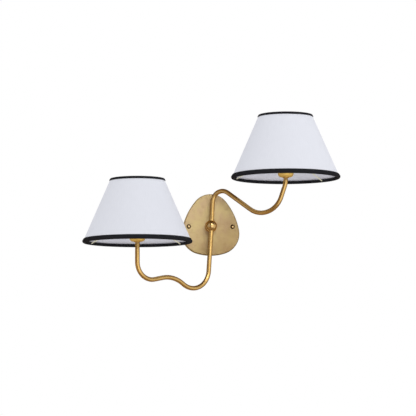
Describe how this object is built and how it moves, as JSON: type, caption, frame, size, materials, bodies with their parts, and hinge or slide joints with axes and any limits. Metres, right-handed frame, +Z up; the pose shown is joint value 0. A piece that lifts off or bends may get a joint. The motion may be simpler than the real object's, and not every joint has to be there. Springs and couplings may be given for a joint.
{
  "type": "double arm wall sconce",
  "caption": "Brass wall sconce with two curved arms at different heights, each carrying a tapered fabric shade with dark trims and a screw-in bulb, on a pebble-shaped wall plate.",
  "frame": {"origin": "on the wall plane, half way between the two wall slots of the mounting bar, level with the plate screws and the ball", "axes": "+Y into the wall, +X to the right along the wall as seen from the room, +Z up; the sconce stands out towards -Y"},
  "size_m": [0.5133, 0.2289, 0.347],
  "materials": {
    "plate_brass": "aged and finely brushed, mottled",
    "arm_brass": "polished",
    "bar_steel": "zinc plated",
    "screw_brass": "polished",
    "ground_green": "green dyed",
    "holder_white": "gloss",
    "shell_brass": "bright",
    "shade_cloth": "fine plain weave on a stiff liner",
    "trim_cloth": "ribbed ribbon",
    "shade_wire": "pale enamel",
    "opal_glass": "opal",
    "cap_metal": "plain",
    "cap_insulator": "gloss"
  },
  "bodies": {
    "wall_unit": {"backplate": "plate_brass", "mounting_bar": "bar_steel", "ground_screw": "ground_green", "plate_screws": "screw_brass", "centre_boss": "arm_brass", "ball_joint": "arm_brass", "centre_nipple": "bar_steel", "nipple_washer": "bar_steel", "nipple_nut": "bar_steel", "lower_arm_tube": "arm_brass", "upper_arm_tube": "arm_brass", "lower_neck": "arm_brass", "lower_cup": "arm_brass", "lower_lock_nut": "bar_steel", "lower_lampholder": "holder_white", "lower_screw_shell": "shell_brass", "lower_centre_contact": "shell_brass", "upper_neck": "arm_brass", "upper_cup": "arm_brass", "upper_lock_nut": "bar_steel", "upper_lampholder": "holder_white", "upper_screw_shell": "shell_brass", "upper_centre_contact": "shell_brass"},
    "lower_shade": {"lower_shade_panel": "shade_cloth", "lower_top_ring": "shade_wire", "lower_bottom_ring": "shade_wire", "lower_top_trim": "trim_cloth", "lower_bottom_trim": "trim_cloth", "lower_fitter_hub": "shade_wire", "lower_fitter_wires": "shade_wire"},
    "lower_ring": {"lower_clamp_ring": "holder_white"},
    "lower_bulb": {"lower_bulb_glass": "opal_glass", "lower_bulb_cap": "cap_metal", "lower_bulb_insulator": "cap_insulator", "lower_bulb_contact": "cap_metal"},
    "upper_shade": {"upper_shade_panel": "shade_cloth", "upper_top_ring": "shade_wire", "upper_bottom_ring": "shade_wire", "upper_top_trim": "trim_cloth", "upper_bottom_trim": "trim_cloth", "upper_fitter_hub": "shade_wire", "upper_fitter_wires": "shade_wire"},
    "upper_ring": {"upper_clamp_ring": "holder_white"},
    "upper_bulb": {"upper_bulb_glass": "opal_glass", "upper_bulb_cap": "cap_metal", "upper_bulb_insulator": "cap_insulator", "upper_bulb_contact": "cap_metal"}
  },
  "joints": [
    {"name": "lower_shade_turn", "type": "hinge", "parent": "wall_unit", "child": "lower_shade", "pos_m": [-0.1546, -0.11995, -0.0442], "axis": [0, 0, 1], "continuous": true},
    {"name": "lower_ring_turn", "type": "hinge", "parent": "wall_unit", "child": "lower_ring", "pos_m": [-0.1546, -0.11995, -0.0442], "axis": [0, 0, 1], "continuous": true},
    {"name": "lower_bulb_turn", "type": "hinge", "parent": "wall_unit", "child": "lower_bulb", "pos_m": [-0.1546, -0.11995, -0.0442], "axis": [0, 0, 1], "continuous": true},
    {"name": "upper_shade_turn", "type": "hinge", "parent": "wall_unit", "child": "upper_shade", "pos_m": [0.1407, -0.11995, 0.0855], "axis": [0, 0, 1], "continuous": true},
    {"name": "upper_ring_turn", "type": "hinge", "parent": "wall_unit", "child": "upper_ring", "pos_m": [0.1407, -0.11995, 0.0855], "axis": [0, 0, 1], "continuous": true},
    {"name": "upper_bulb_turn", "type": "hinge", "parent": "wall_unit", "child": "upper_bulb", "pos_m": [0.1407, -0.11995, 0.0855], "axis": [0, 0, 1], "continuous": true}
  ]
}
